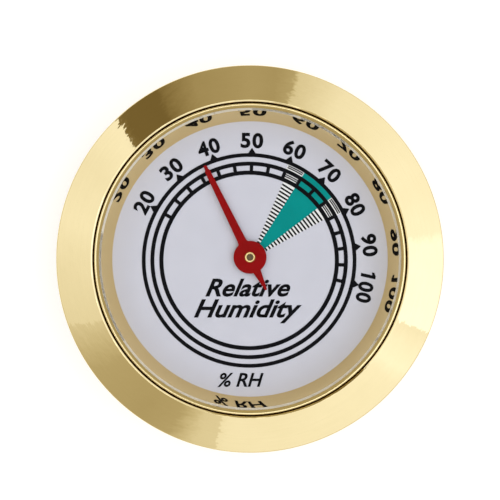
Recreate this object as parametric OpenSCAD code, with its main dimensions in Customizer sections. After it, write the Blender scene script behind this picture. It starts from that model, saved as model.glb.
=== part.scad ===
// Dial hygrometer for a round panel hole: bezel, lens and dial in a drawn case,
// with a coil driven pointer movement and a calibration screw at the back.
// Millimetres. The back lies on z = 0, the dial faces +Z, 12 o'clock is +Y.

/* [Bezel] */
// Outer diameter of the flange
bezel_d = 45; // [43:0.5:48]
// Bore that takes the lens and its retaining ring
bore_d = 36.5; // [36.4:0.05:36.7]
// Height of the flange's outer edge
edge_h = 0.7; // [0.5:0.1:1.2]
// Rise of the conical face from the outer edge to the bore
cone_rise = 1.7; // [1.2:0.1:2.1]
// Length of the skirt that presses into the case
skirt_l = 2; // [1:0.1:2]

/* [Case] */
// Outer diameter of the barrel
case_d = 37; // [36.9:0.05:37.2]
// Depth of the barrel behind the flange
case_h = 7.6; // [7.6:0.1:9]
// Thickness of the barrel's wall
case_wall = 0.5; // [0.4:0.05:0.6]
// Thickness of the floor
floor_t = 0.8; // [0.6:0.1:0.8]
// Number of vent slots in the floor
vents = 6; // [3:1:8]
// Radius of the circle that the vent slots lie on
vent_r = 12; // [10:0.5:14]
// Width of a vent slot
vent_w = 1.2; // [0.8:0.1:1.6]

/* [Lens stack] */
// Thickness of the lens
lens_t = 1; // [0.8:0.1:1.2]
// Thickness of the gasket under the lens
gasket_t = 0.25; // [0.2:0.05:0.4]
// Height of the reflector's sloping wall above the dial
wall_h = 2.25; // [1.8:0.05:2.25]
// Diameter of the dial that shows inside the reflector
dial_show_d = 32.1; // [31:0.05:32.4]
// Inner diameter of the reflector under the lens
reflector_top_d = 34.6; // [34:0.1:34.6]
// Width of the retaining ring's rounded top
ring_w = 0.6; // [0.4:0.05:0.6]

/* [Pointer] */
// Angle of the needle from 12 o'clock, towards 9 o'clock
needle_a = 26.3; // [0:0.1:60]
// Length from the arbor to the tip
needle_l = 11.9; // [8:0.1:13]
// Width of the needle where it meets the hub
needle_w = 0.96; // [0.6:0.02:1.2]
// Width of the needle at its rounded end
needle_end_w = 0.62; // [0.3:0.02:0.7]
// Length of the counterweight tail
tail_l = 4.25; // [3:0.05:6]
// Diameter of the hub disc
hub_d = 3.68; // [3:0.02:4]
// Height of the needle above the dial
needle_z = 0.6; // [0.5:0.05:0.8]

/* [Movement] */
// Sideways play that the movement is set with in the case, towards 12 o'clock
movement_y = 0.2; // [0:0.05:0.3]
// Diameter of the front plate
plate_d = 20; // [20:0.5:24]
// Radius of the circle that the pillars stand on
pillar_r = 8.6; // [8.4:0.1:8.8]
// Diameter of a pillar
pillar_d = 2; // [1.8:0.1:2.2]
// Number of turns of the sensing coil
coil_turns = 5; // [3:1:5]
// Height of the coil's strip
coil_h = 1.7; // [1:0.1:1.7]
// Thickness of the coil's strip
coil_t = 0.2; // [0.12:0.02:0.24]
// Direction of the calibration lever from 3 o'clock
lever_a = 30; // [10:1:50]

/* [Hidden] */
$fn = 128;
eps = 0.01;
shake = 0.05; // end play between parts that turn on each other
slip = 0.03;  // radial clearance of a pivot in its bush

// Radii of the case and the bezel
bezel_r = bezel_d / 2;
bore_r = bore_d / 2;
case_r = case_d / 2;
cup_r = case_r - case_wall;
skirt_wall = 0.5;
skirt_r = cup_r - skirt_wall;
case_corner = 0.7;
rim_groove = 0.1; // how far the case's rim goes up into the flange
lip_round = 0.14;
edge_round = 0.2;

// Levels of the lens stack, from the bezel's ledge up
ledge_h = 0.4;
ledge_z = case_h + ledge_h;
reflector_t = 0.35;
gasket_z = ledge_z + reflector_t;
lens_z = gasket_z + gasket_t;
ring_z = lens_z + lens_t;
ring_foot_h = 0.25;
lens_gap = 0.1;
lens_r = bore_r - lens_gap;
lens_chamfer = 0.15;
ring_gap = 0.2;
ring_r = bore_r - ring_gap - ring_w;
gasket_show = 0.18; // width of gasket that shows inside the retaining ring

// Levels of the dial and the movement, from the reflector down
dial_z = gasket_z - wall_h;
dial_t = 0.4;
dial_back_z = dial_z - dial_t;
dial_gap = 0.1;
dial_r = skirt_r - dial_gap;
dial_hole_r = 1.2;
spacer_w = 1.4;
plate_t = 0.6;
plate_z = dial_back_z - plate_t;
pillar_h = 3;
bridge_front_z = plate_z - pillar_h;
bridge_t = 0.5;
bridge_z = bridge_front_z - bridge_t;

// Dial feet
foot_r = 0.5;
foot_at = 7;
foot_l = 0.9;

// Pillars, bridge and their screws
pillar_angles = [90, 210, 330];
screw_r = 0.5;
screw_fit = 0.02;
screw_l = 1;
csk_r = 1.1;
bridge_head_r = 1;
bridge_head_h = 0.45;
slot_w = 0.3;
slot_h = 0.2;
arm_w = 2.2;
arm_end_r = 1.5;
bridge_hub_r = 3.4;

// Arbor and its bushes
pivot_r = 0.34;
arbor_r = 0.55;
journal_r = 0.42;
tip_r = 0.38;
front_bush_r = 1.1;
bush_proud = 0.1;
rear_bush_r = 0.9;
rear_bush_h = 0.8;

// Calibration screw, its washer and its lever
cal_head_r = 2.3;
cal_head_h = 1;
cal_slot_w = 0.6;
cal_slot_h = 0.45;
cal_shank_r = 1.45;
cal_hole_r = 2.8;
washer_t = 0.3;
washer_r = 2.6;
lever_t = 0.35;
lever_z = bridge_front_z + shake;
lever_top = lever_z + lever_t;
lever_hub_r = 2.4;
lever_w = 1.5;
stud_at = 7;
stud_r = 0.5;
stud_slot_w = coil_t + 0.06;
cal_head_top = bridge_z - washer_t - shake;

// Sensing coil between the collet on the arbor and the stud on the lever
collet_r = 1.4;
coil_gap = 0.03;
coil_in_r = collet_r + coil_gap + coil_t / 2;
coil_pitch = (stud_at - coil_in_r) / coil_turns;
coil_step = 12;
coil_z = lever_top + 0.4;
coil_lap = 6; // degrees that the strip runs on past the stud

// Pointer and its collet
needle_t = 0.15;
pointer_z = dial_z + needle_z;
tube_r = 0.6;
tube_l = 0.45;
flange_r = 1;
flange_t = 0.25;
arbor_recess = 0.2;
nib_l = 0.45;
nib_w = 0.32;
tail_w = 0.94;
tail_tip_w = 0.24;

brass = "#d8bd78";
gold = "#f2dfa6";
steel = "#8e9094";
dial_white = "#c6c7ce";
pointer_red = "#aa0812";

// Points of an arc about [x, y], from angle a to angle b
function arc(x, y, r, a, b, n = 8) =
  [for (i = [0:n]) let (t = a + (b - a) * i / n) [x + r * cos(t), y + r * sin(t)]];

// Radius of the coil's middle line at an angle along it
function coil_r(t) = coil_in_r + coil_pitch * t / 360;
function polar(r, t) = [r * cos(t), r * sin(t)];

// Ring between two radii, h high, standing on z
module ring(inner, outer, z, h) {
  translate([0, 0, z]) rotate_extrude()
    translate([inner, 0]) square([outer - inner, h]);
}

// Plain round bar standing on z
module bar(r, z, h) {
  translate([0, 0, z]) cylinder(r = r, h = h);
}

// Everything in the movement sits a little off the case's axis
module in_movement() {
  translate([0, movement_y, 0]) children();
}

module at_pillars() {
  for (a = pillar_angles) rotate(a) translate([pillar_r, 0, 0]) children();
}

module vent_slot() {
  half_a = 360 / vents * 0.3;
  rotate(-half_a) rotate_extrude(angle = 2 * half_a)
    translate([vent_r - vent_w / 2, -eps]) square([vent_w, floor_t + 2 * eps]);
  for (s = [-1, 1]) rotate(s * half_a) translate([vent_r, 0, 0])
    bar(vent_w / 2, -eps, floor_t + 2 * eps);
}

module case_cup() {
  rim_z = case_h + rim_groove;
  color(brass) difference() {
    rotate_extrude() polygon(concat(
      [[0, 0]], arc(case_r - case_corner, case_corner, case_corner, -90, 0),
      [[case_r, rim_z], [cup_r, rim_z], [cup_r, floor_t], [0, floor_t]]));
    in_movement() bar(cal_hole_r, -eps, floor_t + 2 * eps);
    for (i = [0:vents - 1]) rotate(360 * i / vents) vent_slot();
  }
}

module bezel() {
  top_z = case_h + edge_h + cone_rise;
  edge_z = case_h + edge_h;
  groove_z = case_h + rim_groove;
  color(gold) rotate_extrude() polygon(concat(
    [[skirt_r, case_h - skirt_l], [cup_r, case_h - skirt_l], [cup_r, groove_z],
      [case_r, groove_z], [case_r, case_h], [bezel_r, case_h]],
    arc(bezel_r - edge_round, edge_z - edge_round, edge_round, 0, 70),
    arc(bore_r + lip_round, top_z - lip_round, lip_round, 70, 180),
    [[bore_r, ledge_z], [skirt_r, ledge_z]]));
}

module retaining_ring() {
  top_r = ring_w / 2;
  foot_top = ring_z + ring_foot_h;
  color(gold) rotate_extrude() polygon(concat(
    [[ring_r, ring_z], [bore_r, ring_z], [bore_r, foot_top]],
    arc(ring_r + top_r, foot_top, top_r, 0, 180, 12)));
}

module lens() {
  c = lens_chamfer;
  color("#e8f0f0", 0.35) rotate_extrude() polygon([
    [0, lens_z], [lens_r - c, lens_z], [lens_r, lens_z + c],
    [lens_r, ring_z - c], [lens_r - c, ring_z], [0, ring_z]]);
}

module lens_gasket() {
  color("#efe0d4") ring(ring_r - gasket_show, lens_r, gasket_z, gasket_t);
}

module reflector_ring() {
  foot_r_in = dial_show_d / 2;
  top_r_in = reflector_top_d / 2;
  slope = (top_r_in - foot_r_in) / wall_h;
  sheet = reflector_t * 1.01;
  color(brass) rotate_extrude() polygon([
    [foot_r_in, dial_z], [foot_r_in + sheet, dial_z],
    [top_r_in + sheet - slope * reflector_t, ledge_z], [lens_r, ledge_z],
    [lens_r, gasket_z], [top_r_in, gasket_z]]);
}

module dial_plate() {
  color(dial_white) difference() {
    bar(dial_r, dial_back_z, dial_t);
    in_movement() bar(dial_hole_r, dial_back_z - eps, dial_t + 2 * eps);
  }
}

module dial_feet() {
  color(brass) in_movement() for (s = [-1, 1])
    translate([s * foot_at, 0, 0]) bar(foot_r, dial_back_z - foot_l, foot_l);
}

module spacer_ring() {
  color("#2b2b2d") ring(dial_r - spacer_w, dial_r, floor_t, dial_back_z - floor_t);
}

module front_plate() {
  color(brass) in_movement() difference() {
    bar(plate_d / 2, plate_z, plate_t);
    bar(front_bush_r, plate_z - eps, plate_t + 2 * eps);
    for (s = [-1, 1]) translate([s * foot_at, 0, 0])
      bar(foot_r + screw_fit, plate_z - eps, plate_t + 2 * eps);
    at_pillars() translate([0, 0, plate_z - eps])
      cylinder(r1 = screw_r + screw_fit, r2 = csk_r + screw_fit, h = plate_t + 2 * eps);
  }
}

module plate_screws() {
  color(steel) in_movement() at_pillars() difference() {
    union() {
      translate([0, 0, plate_z]) cylinder(r1 = screw_r, r2 = csk_r, h = plate_t);
      bar(screw_r, plate_z - screw_l, screw_l);
    }
    translate([-csk_r, -slot_w / 2, dial_back_z - slot_h]) cube([2 * csk_r, slot_w, 1]);
  }
}

module pillars() {
  color(brass) in_movement() at_pillars() difference() {
    bar(pillar_d / 2, bridge_front_z, pillar_h);
    for (z = [bridge_front_z - eps, plate_z - screw_l - shake])
      bar(screw_r + screw_fit, z, screw_l + shake + eps);
  }
}

module bridge() {
  color(brass) in_movement() translate([0, 0, bridge_z]) linear_extrude(bridge_t)
    difference() {
      union() {
        circle(bridge_hub_r);
        for (a = pillar_angles) rotate(a) {
          translate([0, -arm_w / 2]) square([pillar_r, arm_w]);
          translate([pillar_r, 0]) circle(arm_end_r);
        }
      }
      circle(cal_shank_r + shake);
      for (a = pillar_angles) rotate(a) translate([pillar_r, 0]) circle(screw_r + screw_fit);
    }
}

module bridge_screws() {
  head_z = bridge_z - bridge_head_h;
  color(steel) in_movement() at_pillars() difference() {
    union() {
      bar(bridge_head_r, head_z, bridge_head_h);
      bar(screw_r, bridge_z - eps, bridge_t + screw_l - shake);
    }
    translate([-bridge_head_r, -slot_w / 2, head_z - 1 + slot_h])
      cube([2 * bridge_head_r, slot_w, 1]);
  }
}

module front_bush() {
  color(gold) in_movement()
    ring(journal_r + slip, front_bush_r, plate_z, dial_z + bush_proud - plate_z);
}

module calibration_screw() {
  head_z = cal_head_top - cal_head_h;
  color(brass) in_movement() difference() {
    union() {
      bar(cal_head_r, head_z, cal_head_h);
      bar(cal_shank_r, head_z, lever_top - head_z);
    }
    bar(rear_bush_r, lever_top - rear_bush_h, rear_bush_h + eps);
    translate([-cal_head_r, -cal_slot_w / 2, head_z - 1 + cal_slot_h])
      cube([2 * cal_head_r, cal_slot_w, 1]);
  }
}

module friction_washer() {
  color(steel) in_movement() ring(cal_shank_r + shake, washer_r, cal_head_top, washer_t);
}

module rear_bush() {
  color(gold) in_movement()
    ring(pivot_r + slip, rear_bush_r, lever_top - rear_bush_h, rear_bush_h);
}

module calibration_lever() {
  color(steel) in_movement() translate([0, 0, lever_z]) linear_extrude(lever_t)
    difference() {
      union() {
        circle(lever_hub_r);
        rotate(lever_a) {
          translate([0, -lever_w / 2]) square([stud_at, lever_w]);
          translate([stud_at, 0]) circle(lever_w / 2);
        }
      }
      circle(cal_shank_r);
    }
}

module coil_stud() {
  stud_top = coil_z + coil_h + 0.1;
  color(brass) in_movement() rotate(lever_a) translate([stud_at, 0, 0]) difference() {
    bar(stud_r, lever_top, stud_top - lever_top);
    translate([-stud_slot_w / 2, -stud_r, coil_z]) cube([stud_slot_w, 2 * stud_r, stud_top]);
  }
}

module sensing_coil() {
  end_a = 360 * coil_turns + coil_lap;
  outer = [for (t = [0:coil_step:end_a]) polar(coil_r(t) + coil_t / 2, t)];
  inner = [for (t = [0:coil_step:end_a]) polar(coil_r(t) - coil_t / 2, t)];
  n = len(inner);
  color("#b98a4e") in_movement() rotate(lever_a) translate([0, 0, coil_z])
    linear_extrude(coil_h)
      polygon(concat(outer, [for (i = [1:n]) inner[n - i]]));
}

module coil_collet() {
  color(brass) in_movement() ring(arbor_r, collet_r, coil_z, coil_h);
}

module pointer_arbor() {
  pivot_z = lever_top - rear_bush_h + shake;
  body_z = lever_top + shake;
  journal_z = plate_z - shake;
  tip_z = pointer_z - flange_t;
  end_z = pointer_z + tube_l - arbor_recess;
  color(steel) in_movement() rotate_extrude() polygon([
    [0, pivot_z], [pivot_r, pivot_z], [pivot_r, body_z], [arbor_r, body_z],
    [arbor_r, journal_z], [journal_r, journal_z], [journal_r, tip_z],
    [tip_r, tip_z], [tip_r, end_z], [0, end_z]]);
}

module pointer_collet() {
  color(gold) in_movement() {
    ring(tip_r, flange_r, pointer_z - flange_t, flange_t);
    ring(tip_r, tube_r, pointer_z, tube_l);
  }
}

module pointer() {
  nib_at = needle_l - nib_l;
  root = (tube_r + hub_d / 2) / 2; // the needle and tail start inside the hub disc
  color(pointer_red) in_movement() rotate(needle_a) translate([0, 0, pointer_z])
    linear_extrude(needle_t) difference() {
      union() {
        circle(hub_d / 2);
        polygon(concat([[-needle_w / 2, root], [needle_w / 2, root]],
          arc(0, nib_at - needle_end_w / 2, needle_end_w / 2, 0, 180)));
        polygon([[-nib_w / 2, nib_at - nib_l], [nib_w / 2, nib_at - nib_l],
          [nib_w / 4, needle_l], [-nib_w / 4, needle_l]]);
        polygon([[-tail_tip_w / 2, -tail_l], [tail_tip_w / 2, -tail_l],
          [tail_w / 2, -root], [-tail_w / 2, -root]]);
      }
      circle(tube_r);
    }
}

case_cup();
bezel();
retaining_ring();
lens();
lens_gasket();
reflector_ring();
dial_plate();
dial_feet();
spacer_ring();
front_plate();
plate_screws();
pillars();
bridge();
bridge_screws();
front_bush();
calibration_screw();
friction_washer();
rear_bush();
calibration_lever();
coil_stud();
sensing_coil();
coil_collet();
pointer_arbor();
pointer_collet();
pointer();
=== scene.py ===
"""Looks of the dial hygrometer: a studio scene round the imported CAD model."""
import math

import bmesh
import bpy
from mathutils import Matrix, Vector


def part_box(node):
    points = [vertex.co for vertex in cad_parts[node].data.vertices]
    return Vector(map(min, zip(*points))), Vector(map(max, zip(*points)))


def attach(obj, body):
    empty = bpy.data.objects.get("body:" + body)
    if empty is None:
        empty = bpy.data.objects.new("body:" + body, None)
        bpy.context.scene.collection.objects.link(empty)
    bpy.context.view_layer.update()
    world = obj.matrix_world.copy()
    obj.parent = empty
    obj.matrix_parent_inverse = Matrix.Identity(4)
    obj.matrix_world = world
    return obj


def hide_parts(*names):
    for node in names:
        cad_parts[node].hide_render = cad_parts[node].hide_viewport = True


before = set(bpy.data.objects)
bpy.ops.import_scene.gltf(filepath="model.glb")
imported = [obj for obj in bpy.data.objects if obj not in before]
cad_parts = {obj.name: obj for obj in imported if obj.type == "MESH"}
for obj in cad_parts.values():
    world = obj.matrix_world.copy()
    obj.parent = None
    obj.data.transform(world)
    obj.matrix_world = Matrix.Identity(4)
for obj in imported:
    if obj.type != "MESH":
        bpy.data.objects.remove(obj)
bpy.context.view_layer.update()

MM = 0.001
TURN = 2 * math.pi
FINE = 512  # segments of a polished lathe

# Levels and radii in millimetres, from the CAD boxes
SKIRT = 2.0  # length of the bezel's skirt, below the flange
BEZEL_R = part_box("bezel")[1].x / MM
CASE_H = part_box("bezel")[0].z / MM + SKIRT
DIAL_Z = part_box("dial_plate")[1].z / MM
LENS_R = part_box("lens")[1].x / MM
LENS_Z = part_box("lens")[0].z / MM
RING_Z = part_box("retaining_ring")[0].z / MM
LEDGE_Z = CASE_H + 0.4  # the bezel's ledge, which the lens stack lies on
REFLECTOR = (16.05, 17.3)  # radii of its foot on the dial and of its rim under the gasket
GASKET_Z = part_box("lens_gasket")[0].z / MM
POINTER_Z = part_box("pointer")[0].z / MM
POINTER_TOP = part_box("pointer")[1].z / MM
PIVOT_Y = (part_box("pointer_collet")[0].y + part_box("pointer_collet")[1].y) / 2 / MM

# The print sits a little off the dial's axis
PRINT_X, PRINT_Y = -0.10, -0.17
INK = 0.012  # thickness of a layer of print


# ---------------------------------------------------------------- node helpers
def new_material(name):
    mat = bpy.data.materials.new(name)
    mat.use_nodes = True
    mat.node_tree.nodes.clear()
    return mat, mat.node_tree


def add(tree, kind, **sockets):
    """A node with its sockets set by name: a value is set, an output is linked."""
    node = tree.nodes.new(kind)
    for key, value in sockets.items():
        put(tree, node, key.replace("_", " "), value)
    return node


def put(tree, node, key, value):
    socket = node.inputs[int(key[1:])] if key[1:].isdigit() else node.inputs[key]
    if isinstance(value, bpy.types.NodeSocket):
        tree.links.new(value, socket)
    else:
        socket.default_value = value


def calc(tree, operation, a, b=0.0):
    node = tree.nodes.new("ShaderNodeMath")
    node.operation = operation
    put(tree, node, "i0", a)
    put(tree, node, "i1", b)
    return node.outputs[0]


def remap(tree, value, low, high, to_low, to_high):
    node = tree.nodes.new("ShaderNodeMapRange")
    for key, x in zip("01234", (value, low, high, to_low, to_high)):
        put(tree, node, "i" + key, x)
    return node.outputs[0]


def shade_between(tree, value, dark, light):
    """A colour from dark to light as value goes from 0 to 1."""
    node = tree.nodes.new("ShaderNodeMix")
    node.data_type = "RGBA"
    put(tree, node, "i0", value)
    for key, colour in (("i6", dark), ("i7", light)):
        put(tree, node, key, colour if isinstance(colour, bpy.types.NodeSocket) else (*colour, 1))
    return node.outputs[2]


def object_xyz(tree, scale=1000.0):
    """The object's coordinates in millimetres."""
    coords = tree.nodes.new("ShaderNodeTexCoord")
    node = tree.nodes.new("ShaderNodeVectorMath")
    node.operation = "SCALE"
    tree.links.new(coords.outputs["Object"], node.inputs[0])
    node.inputs["Scale"].default_value = scale
    return node.outputs[0]


def turned_xyz(tree, across, along, centre_y=0.0):
    """Coordinates that are stretched round the axis, for the marks a lathe leaves."""
    split = add(tree, "ShaderNodeSeparateXYZ", i0=object_xyz(tree))
    x, z = split.outputs[0], split.outputs[2]
    y = calc(tree, "SUBTRACT", split.outputs[1], centre_y)
    squared = calc(tree, "ADD", calc(tree, "MULTIPLY", x, x), calc(tree, "MULTIPLY", y, y))
    radius = calc(tree, "MAXIMUM", calc(tree, "SQRT", squared), 0.01)
    slant = calc(tree, "ADD", radius, z)
    join = add(
        tree, "ShaderNodeCombineXYZ",
        i0=calc(tree, "MULTIPLY", calc(tree, "DIVIDE", x, radius), along),
        i1=calc(tree, "MULTIPLY", calc(tree, "DIVIDE", y, radius), along),
        i2=calc(tree, "MULTIPLY", slant, across),
    )
    return join.outputs[0]


def brushed_xyz(tree, across, along):
    """Coordinates that are stretched along X, for a straight grain."""
    node = tree.nodes.new("ShaderNodeVectorMath")
    node.operation = "MULTIPLY"
    tree.links.new(object_xyz(tree), node.inputs[0])
    node.inputs[1].default_value = (along, across, across)
    return node.outputs[0]


def noise(tree, vector, scale=1.0, detail=3.0, rough=0.55):
    node = add(tree, "ShaderNodeTexNoise", Vector=vector, Scale=scale, Detail=detail,
               Roughness=rough)
    return node.outputs["Fac"]


def bump(tree, height, strength, depth_mm, under=None):
    node = add(tree, "ShaderNodeBump", Strength=strength, Distance=depth_mm * MM, Height=height)
    if under is not None:
        tree.links.new(under, node.inputs["Normal"])
    return node.outputs[0]


def close(tree, shader):
    out = tree.nodes.new("ShaderNodeOutputMaterial")
    tree.links.new(shader.outputs[0], out.inputs["Surface"])


# ---------------------------------------------------------------- materials
def polished_brass(name, dark, light, rough, grain_mm, wave_mm, centre_y=0.0):
    """Lacquered brass polished on a lathe, with fine rings and a faint waviness."""
    mat, tree = new_material(name)
    fine = noise(tree, turned_xyz(tree, 9.0, 3.0, centre_y), 1.0, 4.0, 0.6)
    wavy = noise(tree, turned_xyz(tree, 3.4, 9.0, centre_y), 1.0, 2.0)
    cloud = noise(tree, object_xyz(tree), 0.22, 4.0)
    mottle = calc(tree, "ADD", calc(tree, "MULTIPLY", cloud, 0.6),
                  calc(tree, "MULTIPLY", fine, 0.4))
    tint = shade_between(tree, remap(tree, mottle, 0.35, 0.65, 0.0, 1.0), dark, light)
    gloss = remap(tree, fine, 0.3, 0.7, rough * 0.75, rough * 1.3)
    under = bump(tree, wavy, 1.0, wave_mm)
    shader = add(tree, "ShaderNodeBsdfPrincipled", Base_Color=tint, Metallic=1.0,
                 Roughness=gloss, Normal=bump(tree, fine, 1.0, grain_mm, under))
    close(tree, shader)
    return mat


def satin_metal(name, dark, light, rough, grain_mm, vector_of):
    """Drawn, brushed or turned metal: a grain in the relief and in the gloss."""
    mat, tree = new_material(name)
    grain = noise(tree, vector_of(tree), 1.0, 5.0, 0.65)
    cloud = noise(tree, object_xyz(tree), 0.5, 4.0)
    tint = shade_between(tree, remap(tree, cloud, 0.3, 0.7, 0.0, 1.0), dark, light)
    gloss = remap(tree, grain, 0.3, 0.7, rough * 0.8, rough * 1.25)
    shader = add(tree, "ShaderNodeBsdfPrincipled", Base_Color=tint, Metallic=1.0,
                 Roughness=gloss, Normal=bump(tree, grain, 1.0, grain_mm))
    close(tree, shader)
    return mat


def coated(name, dark, light, rough, grain_scale, grain_mm, specular=0.5):
    """Paint, enamel, ink, moulded plastic or rubber: a fine grain and a faint mottle."""
    mat, tree = new_material(name)
    grain = noise(tree, object_xyz(tree), grain_scale, 4.0)
    cloud = noise(tree, object_xyz(tree), 0.35, 3.0)
    tint = shade_between(tree, remap(tree, cloud, 0.3, 0.7, 0.0, 1.0), dark, light)
    gloss = remap(tree, grain, 0.3, 0.7, rough * 0.85, rough * 1.2)
    shader = add(tree, "ShaderNodeBsdfPrincipled", Base_Color=tint, Roughness=gloss,
                 Normal=bump(tree, grain, 1.0, grain_mm))
    shader.inputs["Specular IOR Level"].default_value = specular
    close(tree, shader)
    return mat


def silvered(name, dark, light, rough):
    """The dial's silvery enamel: a fine grain, and a painted shade that darkens it towards the
    rim, under the wall.
    """
    unshaded_r, rim_r, rim_shade = 13.0, 16.2, 0.94
    mat, tree = new_material(name)
    split = add(tree, "ShaderNodeSeparateXYZ", i0=object_xyz(tree))
    x, y = split.outputs[0], split.outputs[1]
    squared = calc(tree, "ADD", calc(tree, "MULTIPLY", x, x), calc(tree, "MULTIPLY", y, y))
    rim = remap(tree, calc(tree, "SQRT", squared), unshaded_r, rim_r, 0.0, 1.0)
    cloud = remap(tree, noise(tree, object_xyz(tree), 0.35, 3.0), 0.3, 0.7, 0.0, 1.0)
    grain = noise(tree, object_xyz(tree), 9.0, 4.0)
    # painted shade: the colour darkens towards the rim, where the wall shades the dial
    painted_rim_shade = [rim_shade * shade for shade in dark]
    tint = shade_between(tree, rim, shade_between(tree, cloud, dark, light), painted_rim_shade)
    shader = add(tree, "ShaderNodeBsdfPrincipled", Base_Color=tint,
                 Roughness=remap(tree, grain, 0.3, 0.7, rough * 0.85, rough * 1.2),
                 Normal=bump(tree, grain, 1.0, 0.002))
    shader.inputs["Specular IOR Level"].default_value = 0.3
    close(tree, shader)
    return mat


def clear_glass(name):
    """A flat clear pane: lets light straight through and reflects by its angle."""
    head_on, grazing_gain = 0.015, 0.98  # shares of the light that it reflects
    mat, tree = new_material(name)
    smear = noise(tree, object_xyz(tree), 0.3, 5.0)
    through = add(tree, "ShaderNodeBsdfTransparent", Color=(0.97, 0.975, 0.97, 1))
    shine = add(tree, "ShaderNodeBsdfGlossy", Color=(1, 1, 1, 1),
                Roughness=remap(tree, smear, 0.4, 0.7, 0.0, 0.03))
    facing = add(tree, "ShaderNodeLayerWeight", Blend=0.5).outputs["Facing"]
    grazing = calc(tree, "MULTIPLY", calc(tree, "POWER", facing, 5.0), grazing_gain)
    mix = add(tree, "ShaderNodeMixShader", Fac=calc(tree, "ADD", grazing, head_on),
              i1=through.outputs[0], i2=shine.outputs[0])
    close(tree, mix)
    return mat


def turned(tree):
    return turned_xyz(tree, 6.0, 2.0, PIVOT_Y)


def drawn(tree):
    return turned_xyz(tree, 0.10, 95.0)


def brushed(tree):
    return brushed_xyz(tree, 9.0, 0.35)


def make_metals():
    return {
        "bezel": polished_brass("bezel_brass", (0.905, 0.76, 0.425), (0.935, 0.79, 0.45),
                                rough=0.03, grain_mm=0.0003, wave_mm=0.018),
        "ring": polished_brass("ring_brass", (0.90, 0.755, 0.42), (0.94, 0.79, 0.455),
                               rough=0.06, grain_mm=0.0003, wave_mm=0.0006),
        "reflector": polished_brass("reflector_brass", (0.85, 0.64, 0.28), (0.88, 0.67, 0.31),
                                    rough=0.02, grain_mm=0.0001, wave_mm=0.0004),
        "case": satin_metal("case_brass", (0.69, 0.535, 0.26), (0.75, 0.59, 0.30),
                            0.24, 0.003, drawn),
        "movement": satin_metal("movement_brass", (0.64, 0.47, 0.20), (0.76, 0.59, 0.29),
                                0.28, 0.004, brushed),
        "turned_brass": satin_metal("turned_brass", (0.70, 0.52, 0.24), (0.82, 0.64, 0.33),
                                    0.20, 0.003, turned),
        "steel": satin_metal("turned_steel", (0.30, 0.30, 0.31), (0.48, 0.48, 0.49),
                             0.24, 0.003, turned),
        # painted shade: the arbor's end sits deep in the collet's bore and is coloured near black
        # for the shade there
        "arbor": satin_metal("arbor_painted_shade", (0.05, 0.035, 0.02), (0.10, 0.07, 0.04),
                             0.22, 0.003, turned),
        "strip": satin_metal("coil_strip", (0.42, 0.25, 0.10), (0.58, 0.37, 0.17),
                             0.34, 0.004, brushed),
    }


def make_coatings():
    return {
        # painted shadow: near black, for the shade in the gap between the retaining ring and the
        # bezel's bore
        "gap_shadow": coated("painted_gap_shadow", (0.012, 0.004, 0.0), (0.02, 0.007, 0.0),
                         0.9, 4.0, 0.01, specular=0.0),
        "gasket": coated("gasket_pale", (0.95, 0.87, 0.74), (0.99, 0.93, 0.82), 0.5, 6.0, 0.01),
        "dial": silvered("dial_white", (0.66, 0.66, 0.77), (0.69, 0.69, 0.805), 0.42),
        "spacer": coated("spacer_black", (0.012, 0.012, 0.013), (0.03, 0.03, 0.032),
                         0.45, 5.0, 0.012),
        "red": coated("pointer_red", (0.26, 0.0, 0.0), (0.33, 0.0, 0.001),
                      0.22, 9.0, 0.001, specular=0.04),
        "black_ink": coated("ink_black", (0.002, 0.002, 0.004), (0.004, 0.004, 0.006),
                            0.5, 12.0, 0.002, specular=0.02),
        "teal_ink": coated("ink_teal", (0.0, 0.285, 0.275), (0.0, 0.32, 0.31),
                           0.5, 12.0, 0.002, specular=0.02),
        "white_ink": coated("ink_white", (0.90, 0.90, 0.93), (0.95, 0.95, 0.97),
                            0.5, 12.0, 0.002, specular=0.2),
    }


def make_materials():
    return {**make_metals(), **make_coatings(), "glass": clear_glass("lens_glass")}


# ---------------------------------------------------------------- mesh helpers
def to_object(name, mesh, material, body):
    if material is not None:
        mesh.materials.append(material)
    obj = bpy.data.objects.new(name, mesh)
    bpy.context.scene.collection.objects.link(obj)
    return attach(obj, body)


def from_bmesh(name, bm, material, body, smooth=None):
    """Closes a bmesh into an object in millimetres, smooth up to an angle if one is given."""
    bmesh.ops.recalc_face_normals(bm, faces=bm.faces)
    mesh = bpy.data.meshes.new(name)
    bm.to_mesh(mesh)
    bm.free()
    mesh.transform(Matrix.Scale(MM, 4))
    if smooth is not None:
        mesh.shade_smooth()
        mesh.set_sharp_from_angle(angle=math.radians(smooth))
    return to_object(name, mesh, material, body)


def arc(x, y, r, a, b, n=8):
    """Points of an arc about (x, y), from angle a to angle b in degrees."""
    angles = [math.radians(a + (b - a) * i / n) for i in range(n + 1)]
    return [(x + r * math.cos(t), y + r * math.sin(t)) for t in angles]


def lathe(name, profile, material, body, segments=FINE, centre_y=0.0, smooth=22):
    """Turns a closed profile of (radius, height) points about the axis."""
    bm = bmesh.new()
    rows = []
    for i in range(segments):
        c, s = math.cos(TURN * i / segments), math.sin(TURN * i / segments)
        rows.append([bm.verts.new((r * c, r * s + centre_y, z)) for r, z in profile])
    n = len(profile)
    for i, row in enumerate(rows):
        after = rows[(i + 1) % segments]
        for k in range(n):
            bm.faces.new((row[k], after[k], after[(k + 1) % n], row[(k + 1) % n]))
    return from_bmesh(name, bm, material, body, smooth)


def prism(bm, outline, low, high, place=None):
    """A flat closed solid on a counter-clockwise outline, from height low to high."""
    bottom = [bm.verts.new((x, y, low)) for x, y in outline]
    top = [bm.verts.new((x, y, high)) for x, y in outline]
    bm.faces.new(top)
    bm.faces.new(list(reversed(bottom)))
    for i in range(len(outline)):
        k = (i + 1) % len(outline)
        bm.faces.new((bottom[i], bottom[k], top[k], top[i]))
    if place is not None:
        bmesh.ops.transform(bm, matrix=place, verts=bottom + top)


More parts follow.
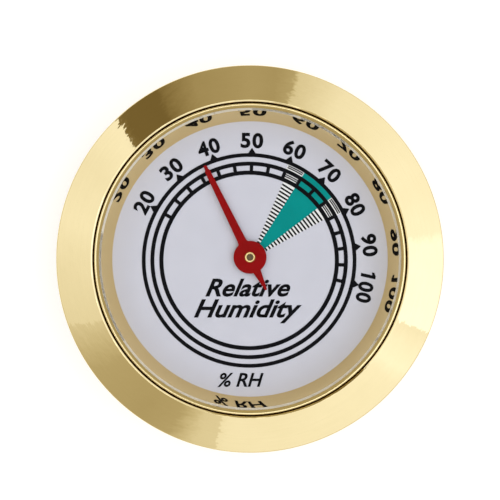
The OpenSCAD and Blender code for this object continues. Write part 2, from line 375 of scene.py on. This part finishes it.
def dial_point(r, clock_a):
    """A point of the print, clock_a degrees clockwise from 12 o'clock."""
    t = math.radians(clock_a)
    return PRINT_X + r * math.sin(t), PRINT_Y + r * math.cos(t)


def dial_place(r, clock_a):
    """The frame of something printed upright at that radius and angle."""
    x, y = dial_point(r, clock_a)
    return Matrix.Translation((x, y, 0)) @ Matrix.Rotation(-math.radians(clock_a), 4, "Z")


def sector(bm, inner, outer, a, b, low, high, step=1.5):
    """A band of print between two radii and two clockwise angles."""
    n = max(2, math.ceil((b - a) / step))
    angles = [a + (b - a) * i / n for i in range(n + 1)]
    rim = [dial_point(outer, t) for t in reversed(angles)]
    hub = [dial_point(inner, t) for t in angles]
    prism(bm, rim + hub, low, high)


def full_ring(bm, inner, outer, low, high, segments=360):
    rows = []
    for i in range(segments):
        points = [dial_point(r, 360 * i / segments) for r in (inner, outer)]
        rows.append([bm.verts.new((x, y, z)) for z in (low, high) for x, y in points])
    for i, row in enumerate(rows):
        after = rows[(i + 1) % segments]
        for k, m in ((0, 1), (1, 3), (3, 2), (2, 0)):
            bm.faces.new((row[k], row[m], after[m], after[k]))


def block(bm, half_x, half_y, place, low, high):
    outline = [(-half_x, -half_y), (half_x, -half_y), (half_x, half_y), (-half_x, half_y)]
    prism(bm, outline, low, high, place)


# ---------------------------------------------------------------- polished rings
def build_bezel(mats):
    edge_z = CASE_H + 0.7
    top_z = CASE_H + 2.4
    skirt_in, skirt_out, bore = 17.5, 18.0, 18.25
    rim = 0.2  # radius of the flange's rounded rim
    seat = [(skirt_in, CASE_H - SKIRT), (skirt_out, CASE_H - SKIRT), (skirt_out, CASE_H + 0.1),
            (18.5, CASE_H + 0.1), (18.5, CASE_H), (BEZEL_R - 0.08, CASE_H),
            (BEZEL_R, CASE_H + 0.08)]
    face = arc(BEZEL_R - rim, edge_z - rim, rim, 0, 67, 10)
    face += crowned_face((BEZEL_R - 0.12, edge_z - 0.016), (18.50, top_z - 0.04), 0.035)
    lip = [(18.46, top_z - 0.024), (18.42, top_z - 0.004), (18.40, top_z), (18.37, top_z - 0.008),
           (18.24, top_z - 0.06), (18.22, top_z - 0.08), (18.22, top_z - 0.14)]
    inside = [(bore, top_z - 0.2), (bore, LEDGE_Z), (skirt_in, LEDGE_Z)]
    profile = seat + face + lip + inside
    ring = lathe("bezel_flange", profile, mats["bezel"], "case", smooth=16)
    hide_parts("bezel")


def crowned_face(start, end, crown, n=16):
    """Points of the flange's face, which bulges a little between its two edges."""
    out_r, out_z = 0.37, 0.93  # the way out of the face
    points = []
    for i in range(n + 1):
        t = i / n
        bulge = 4 * t * (1 - t) * crown
        points.append((start[0] + (end[0] - start[0]) * t + bulge * out_r,
                       start[1] + (end[1] - start[1]) * t + bulge * out_z))
    return points


def build_retaining_ring(mats):
    """A rounded bead on a foot; the foot, in the gap outside the bead, is painted near black as
    the shadow in that gap.
    """
    foot_z = RING_Z + 0.25
    bead = [(17.47, RING_Z), (17.96, RING_Z), (18.0, RING_Z + 0.04)]
    bead += arc(17.83, RING_Z + 0.38, 0.17, 0, 88, 14)
    bead += [(17.81, RING_Z + 0.548), (17.78, RING_Z + 0.53), (17.51, RING_Z + 0.30),
             (17.47, RING_Z + 0.26)]
    ring = lathe("retaining_ring_bead", bead, mats["ring"], "case")
    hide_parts("retaining_ring")
    # painted shadow: the foot is coloured near black for the shade in the gap by the bore
    foot = [(17.98, RING_Z), (18.245, RING_Z), (18.245, foot_z - 0.03), (17.98, foot_z - 0.08)]
    lathe("retaining_ring_foot", foot, mats["gap_shadow"], "case")


def build_reflector(mats):
    foot, top = REFLECTOR
    profile = [(foot, DIAL_Z), (foot + 0.35, DIAL_Z), (top + 0.155, LEDGE_Z), (LENS_R, LEDGE_Z),
               (LENS_R, GASKET_Z), (top, GASKET_Z)]
    ring = lathe("reflector_turned", profile, mats["reflector"], "case", smooth=12)
    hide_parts("reflector_ring")


def build_gasket(mats):
    width = 0.88
    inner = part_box("lens_gasket")[1].x / MM - width
    profile = [(inner, GASKET_Z), (LENS_R, GASKET_Z), (LENS_R, LENS_Z), (inner, LENS_Z)]
    ring = lathe("gasket_band", profile, mats["gasket"], "case")
    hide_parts("lens_gasket")


# ---------------------------------------------------------------- print on the dial
OUTER, MIDDLE, INNER = (12.07, 12.51), (11.05, 11.51), (9.99, 10.47)  # radii of the rings
LAP = 0.1  # how far one print runs under the next
TICK_R, TICK_H, TICK_HALF, TICK_TIP = 12.4, 0.69, 0.5, 0.04
CELL_BAR = (0.2, 0.36)  # half the width and height of a bar between the two inner rings
TEAL, TEAL_R = (65, 75), 2.2  # the teal wedge's readings, and the radius where it starts
HATCHED = ((60, 65), (75, 80))
LADDERS = ((65, -1), (75, 1))  # the reading each one starts at, and the way it spreads
LADDER_A = 8.8  # degrees that a ladder spreads over
LADDER_BARS, LADDER_START, LADDER_PITCH, BAR_HALF = 18, 2.35, 0.425, 0.1
GROUND_R = 2.4  # radius where the white under a ladder starts
CELL_LINES, LINE_HALF = (10.66, 10.88, 11.72, 11.93), 0.07  # lines in the hatched cells
LINE_END = 0.4  # degrees that a line stops short of its cell's sides
# Each numeral with its offset along the scale and its radius
NUMERALS = ((20, 0.07, 13.98), (30, -0.03, 13.98), (40, -0.13, 13.98), (50, -0.03, 13.98),
            (60, 0.07, 13.98), (70, -0.06, 13.98), (80, -0.12, 13.96), (90, 0.0, 14.12),
            (100, 0.21, 13.95))
NUMERAL_H, NUMERAL_W, HUNDRED_W = 1.8, 2.62, 3.34
ONE_FLAG = ((-1.6, 0.45), (-1.6, 0.865), (-2.0, 0.62), (-2.0, 0.32))  # the flag of the 1 in 100


def reading_a(value):
    """Clockwise angle of a reading in per cent: the scale closes up a little as it rises."""
    middle_a, step_a, closing_a = 1.48, 2.066, 0.00083
    return middle_a + step_a * (value - 50) - closing_a * (value - 50) ** 2


def print_layer(level):
    """Bottom and top height of a layer of print."""
    return DIAL_Z - 0.01, DIAL_Z + INK * level


def print_rings(mats):
    low, high = print_layer(3)
    bm = bmesh.new()
    for inner, outer in (OUTER, MIDDLE, INNER):
        full_ring(bm, inner, outer, low, high)
    return ink("print_rings", bm, mats["black_ink"])


def print_ticks(mats):
    low, high = print_layer(4)
    tick = [(-TICK_HALF, 0), (TICK_HALF, 0), (TICK_TIP, TICK_H), (-TICK_TIP, TICK_H)]
    bm = bmesh.new()
    for value in range(20, 101, 10):
        place = dial_place(TICK_R, reading_a(value))
        prism(bm, tick, low, high, place)
    mid = (MIDDLE[0] + INNER[1]) / 2
    for value in range(20, 101, 5):
        block(bm, *CELL_BAR, dial_place(mid, reading_a(value)), low, high)
    return ink("print_ticks", bm, mats["black_ink"])


def print_teal(mats):
    low, high = print_layer(2)
    a, b = (reading_a(v) for v in TEAL)
    bm = bmesh.new()
    sector(bm, TEAL_R, INNER[0] + LAP, a, b, low, high)
    sector(bm, INNER[1] - LAP, MIDDLE[0] + LAP, a, b, low, high)
    sector(bm, MIDDLE[1] - LAP, OUTER[0] + LAP, a, b, low, high)
    return ink("print_teal", bm, mats["teal_ink"])


def print_white(mats):
    """The white ground under the hatched cells and under the two ladders."""
    low, high = print_layer(1)
    bm = bmesh.new()
    for span in HATCHED:
        a, b = (reading_a(v) for v in span)
        sector(bm, INNER[1] - LAP, OUTER[0] + LAP, a, b, low, high)
    for edge, side in LADDERS:
        a, b = sorted((reading_a(edge), reading_a(edge) + side * LADDER_A))
        sector(bm, GROUND_R, INNER[0] + LAP, a, b, low, high)
    return ink("print_white", bm, mats["white_ink"])


def print_hatch(mats):
    """Ladders of short bars along the wedge, and lines in the cells next to it."""
    low, high = print_layer(3)
    bm = bmesh.new()
    for edge, side in LADDERS:
        for i in range(LADDER_BARS):
            r = LADDER_START + LADDER_PITCH * i
            half = r * math.tan(math.radians(LADDER_A)) / 2
            place = dial_place(r, reading_a(edge)) @ Matrix.Translation((side * half, 0, 0))
            block(bm, half, BAR_HALF, place, low, high)
    for span in HATCHED:
        a, b = (reading_a(v) for v in span)
        for r in CELL_LINES:
            sector(bm, r - LINE_HALF, r + LINE_HALF, a + LINE_END, b - LINE_END, low, high)
    return ink("print_hatch", bm, mats["black_ink"])


def ink(name, bm, material):
    return from_bmesh(name, bm, material, "case")


def lettering(name, text, width, height, place, weight=0.04, shear=0.0, space=1.0):
    """A line of print as a thin solid of that width and height, centred on its place."""
    curve = bpy.data.curves.new(name, "FONT")
    curve.body, curve.offset, curve.shear = text, weight, shear
    curve.resolution_u, curve.space_character = 6, space
    maker = bpy.data.objects.new(name, curve)
    bpy.context.scene.collection.objects.link(maker)
    bpy.context.view_layer.update()
    mesh = bpy.data.meshes.new_from_object(maker)
    bpy.data.objects.remove(maker)
    low, high = print_layer(3)
    bm = bmesh.new()
    bm.from_mesh(mesh)
    bpy.data.meshes.remove(mesh)
    bmesh.ops.remove_doubles(bm, verts=bm.verts, dist=0.0005)
    fit_to(bm, width, height)
    grown = bmesh.ops.extrude_face_region(bm, geom=bm.faces[:])
    top = [v for v in grown["geom"] if isinstance(v, bmesh.types.BMVert)]
    for v in bm.verts:
        v.co.z = low
    for v in top:
        v.co.z = high
    bmesh.ops.transform(bm, matrix=place, verts=bm.verts)
    return bm


def fit_to(bm, width, height):
    """Scales flat lettering to that width and height and centres it."""
    xs = [v.co.x for v in bm.verts]
    ys = [v.co.y for v in bm.verts]
    middle = Vector(((min(xs) + max(xs)) / 2, (min(ys) + max(ys)) / 2, 0))
    for v in bm.verts:
        v.co -= middle
        v.co.x *= width / (max(xs) - min(xs))
        v.co.y *= height / (max(ys) - min(ys))


def print_numerals(mats):
    pieces = []
    for value, offset, r in NUMERALS:
        place = dial_place(r, reading_a(value)) @ Matrix.Translation((offset, 0, 0))
        width = HUNDRED_W if value == 100 else NUMERAL_W
        bm = lettering("numeral", str(value), width, NUMERAL_H, place, 0.036, space=1.14)
        if value == 100:
            prism(bm, ONE_FLAG, *print_layer(4), place)
        pieces.append(ink(f"print_{value}", bm, mats["black_ink"]))
    return pieces


# Name, text, width, height, middle, weight and slant of each line of words
WORDS = (
    ("word_relative", "Relative", 9.9, 2.1, (-0.25, -3.35), 0.024, 0.4),
    ("word_humidity", "Humidity", 12.6, 2.8, (-0.25, -6.1), 0.024, 0.4),
    ("word_unit", "% RH", 5.4, 1.65, (-1.1, -14.1), 0.02, 0.3),
)


def print_words(mats):
    pieces = []
    for name, text, width, height, (x, y), weight, shear in WORDS:
        place = Matrix.Translation((x, y, 0))
        bm = lettering(name, text, width, height, place, weight, shear)
        pieces.append(ink("print_" + name, bm, mats["black_ink"]))
    return pieces


def build_print(mats):
    pieces = [print_rings(mats), print_ticks(mats), print_teal(mats), print_white(mats),
              print_hatch(mats)]
    pieces += print_numerals(mats) + print_words(mats)


# ---------------------------------------------------------------- pointer
NEEDLE_A = 26.3  # degrees anticlockwise of 12 o'clock, the reading at rest
NEEDLE_L, TAIL_L = 11.9, 4.25  # from the pivot to the tip and to the tail's end


def needle_outline():
    """The needle with its nib and the tail, as one outline round the hub, tip up."""
    hub, neck, end, tail = 1.92, 0.51, 0.31, 0.46
    nib_l = 0.45
    end_y = NEEDLE_L - nib_l - end
    right = [(0.12, -TAIL_L), (tail, -math.sqrt(hub ** 2 - tail ** 2))]
    right += arc(0, 0, hub, -71, 71, 40)
    right += [(neck + 0.05, 1.93), (neck, 2.2), (end, end_y)]
    right += arc(0, end_y, end, 10, 54, 6)
    right += [(0.22, NEEDLE_L - nib_l), (0.18, NEEDLE_L)]
    left = [(-x, y) for x, y in reversed(right)]
    return right + left


def build_pointer(mats):
    bm = bmesh.new()
    place = Matrix.Translation((0, PIVOT_Y, 0)) @ Matrix.Rotation(math.radians(NEEDLE_A), 4, "Z")
    prism(bm, needle_outline(), POINTER_Z, POINTER_TOP, place)
    rims = [e for e in bm.edges if min(v.co.z for v in e.verts) > POINTER_TOP - 0.01]
    bmesh.ops.bevel(bm, geom=rims, offset=0.04, segments=2, affect="EDGES", clamp_overlap=True)
    piece = from_bmesh("needle_red", bm, mats["red"], "needle", 50)
    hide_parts("pointer")


def build_hub(mats):
    """The collet that grips the arbor, whose end sits inside it."""
    bore, tube, seat = 0.38, 0.6, 1.0
    foot, top = POINTER_Z - 0.25, POINTER_Z + 0.45
    profile = [(bore, foot), (seat, foot), (seat, POINTER_Z), (tube, POINTER_Z),
               (tube, top - 0.06), (tube - 0.06, top), (bore + 0.04, top), (bore, top - 0.05)]
    collet = lathe("collet_turned", profile, mats["turned_brass"], "needle", 96, PIVOT_Y)
    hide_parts("pointer_collet")


# ---------------------------------------------------------------- CAD finishes
FINISH = {
    "case": ("case_cup",),
    "movement": ("front_plate", "bridge"),
    "turned_brass": ("dial_feet", "pillars", "front_bush", "calibration_screw", "rear_bush",
                     "coil_stud", "coil_collet"),
    "steel": ("plate_screws", "bridge_screws", "friction_washer", "calibration_lever"),
    "arbor": ("pointer_arbor",),
    "strip": ("sensing_coil",),
    "glass": ("lens",),
    "dial": ("dial_plate",),
    "spacer": ("spacer_ring",),
}


def finish_cad(mats):
    for key, names in FINISH.items():
        for name in names:
            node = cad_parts[name]
            for material_slot in node.material_slots:
                material_slot.material = mats[key]


# ---------------------------------------------------------------- stage
# Brightness of the room at an azimuth in degrees clockwise from 12 o'clock
ROOM = ((0, 0.45), (8, 0.43), (13.5, 0.5), (15, 0.75), (20, 0.83), (30, 0.98), (45, 1.03),
        (60, 1.09), (82, 1.14), (85, 1.28), (112.5, 1.33), (112.7, 1.04), (120, 1.13),
        (126, 1.17), (131, 1.08), (165, 1.02), (187, 1.0), (189.6, 0.96), (189.9, 0.81),
        (196, 0.78), (204, 0.5), (214, 0.465), (232, 0.51), (246.5, 0.75), (247.3, 0.85),
        (262, 0.91), (280, 1.02), (298, 0.98), (312, 1.05), (313.9, 1.04), (314.1, 0.24),
        (316.6, 0.19), (329, 0.19), (331, 0.24), (342, 0.39), (360, 0.45))
SLANT, SLANT_Z = 0.1, 0.71  # lean of the room's edges on its left, and the height it pivots at
WARMTH = (1.18, 1.7)  # powers that give the walls' green and blue
HORIZON = 0.42
OVERHEAD, OVERHEAD_LEAN = 2.0, 0.6  # the soft light overhead, and how much more comes from +X
GAP = 0.12  # the gap in that light that the camera looks through
# Heights in a room of radius 1 between which one light gives way to the next
HORIZON_Z, OVERHEAD_Z, GAP_Z = (0.30, 0.45), (0.86, 0.90), (0.9985, 0.9990)


def stepped(tree, value, stops):
    """Goes straight from each stop to the next, exactly, so that an edge stays sharp."""
    total = stops[0][1]
    for (a, low), (b, high) in zip(stops, stops[1:]):
        if high != low:
            total = calc(tree, "ADD", total, remap(tree, value, a, b, 0.0, high - low))
    return total


def blend(tree, share, a, b):
    node = tree.nodes.new("ShaderNodeMix")
    for key, value in zip("023", (share, a, b)):
        put(tree, node, "i" + key, value)
    return node.outputs[0]


def room_azimuth(tree, x, y, z):
    """Clockwise azimuth of a direction in degrees; the room's edges slant on its left side."""
    left = calc(tree, "MAXIMUM", calc(tree, "MULTIPLY", x, -SLANT), 0.0)
    lean = calc(tree, "MULTIPLY", left, calc(tree, "SUBTRACT", z, SLANT_Z))
    turn = calc(tree, "ADD", calc(tree, "DIVIDE", calc(tree, "ARCTAN2", x, y), TURN), lean)
    return calc(tree, "MULTIPLY", calc(tree, "FRACT", turn), 360.0)


def room_walls(tree, x, y, z):
    """Warm light from the walls, which are dim near the horizon."""
    bright = stepped(tree, room_azimuth(tree, x, y, z), ROOM)
    walls = blend(tree, remap(tree, z, *HORIZON_Z, 0.0, 1.0), HORIZON, bright)
    green, blue = (calc(tree, "POWER", walls, power) for power in WARMTH)
    gold = add(tree, "ShaderNodeCombineXYZ", i0=walls, i1=green, i2=blue)
    return gold.outputs[0]


def room_overhead(tree, x, z):
    """The soft light overhead, with the gap that the camera looks through."""
    above = calc(tree, "ADD", calc(tree, "MULTIPLY", x, OVERHEAD_LEAN), OVERHEAD)
    above = blend(tree, remap(tree, z, *GAP_Z, 0.0, 1.0), above, GAP)
    pale = add(tree, "ShaderNodeCombineXYZ", i0=above, i1=above, i2=above)
    return pale.outputs[0]


def build_room():
    world = bpy.data.worlds.new("room")
    bpy.context.scene.world = world
    world.use_nodes = True
    tree = world.node_tree
    tree.nodes.clear()
    coords = tree.nodes.new("ShaderNodeTexCoord")
    x, y, z = add(tree, "ShaderNodeSeparateXYZ", i0=coords.outputs["Generated"]).outputs
    both = tree.nodes.new("ShaderNodeMix")
    both.data_type = "VECTOR"
    put(tree, both, "i0", remap(tree, z, *OVERHEAD_Z, 0.0, 1.0))
    put(tree, both, "i4", room_walls(tree, x, y, z))
    put(tree, both, "i5", room_overhead(tree, x, z))
    lit = add(tree, "ShaderNodeBackground", Color=both.outputs[1], Strength=1.0)
    seen = add(tree, "ShaderNodeBackground", Color=(1, 1, 1, 1), Strength=1.0)
    rays = tree.nodes.new("ShaderNodeLightPath")
    mix = add(tree, "ShaderNodeMixShader", Fac=rays.outputs["Is Camera Ray"],
              i1=lit.outputs[0], i2=seen.outputs[0])
    out = tree.nodes.new("ShaderNodeOutputWorld")
    tree.links.new(mix.outputs[0], out.inputs["Surface"])


def build_floor():
    mat, tree = new_material("studio_floor")
    grain = noise(tree, object_xyz(tree), 0.05, 3.0)
    tint = shade_between(tree, grain, (0.48, 0.48, 0.48), (0.52, 0.52, 0.52))
    matt = add(tree, "ShaderNodeBsdfDiffuse", Color=tint)
    glow = add(tree, "ShaderNodeEmission", Color=(1, 1, 1, 1), Strength=0.63)
    both = add(tree, "ShaderNodeAddShader", i0=matt.outputs[0], i1=glow.outputs[0])
    close(tree, both)
    bm = bmesh.new()
    bmesh.ops.create_grid(bm, x_segments=1, y_segments=1, size=2.0)
    mesh = bpy.data.meshes.new("floor")
    bm.to_mesh(mesh)
    bm.free()
    mesh.materials.append(mat)
    floor = bpy.data.objects.new("floor", mesh)
    floor.location.z = -0.02 * MM  # a hair below the object's foot
    bpy.context.scene.collection.objects.link(floor)


def build_camera():
    """Straight down on the face from far off, framed a little above the axis."""
    distance, across = 0.430, 0.058
    aim_y, aim_z = 0.001044, 0.0083
    data = bpy.data.cameras.new("camera")
    data.sensor_width = 36
    data.lens = 36 * distance / across
    data.clip_start, data.clip_end = 0.01, 10
    camera = bpy.data.objects.new("camera", data)
    camera.location = (0, aim_y, aim_z + distance)
    bpy.context.scene.collection.objects.link(camera)
    bpy.context.scene.camera = camera


def main():
    scene = bpy.context.scene
    scene.view_settings.view_transform = "Standard"
    mats = make_materials()
    finish_cad(mats)
    build_bezel(mats)
    build_retaining_ring(mats)
    build_reflector(mats)
    build_gasket(mats)
    build_print(mats)
    build_pointer(mats)
    build_hub(mats)
    build_room()
    build_floor()
    build_camera()


main()
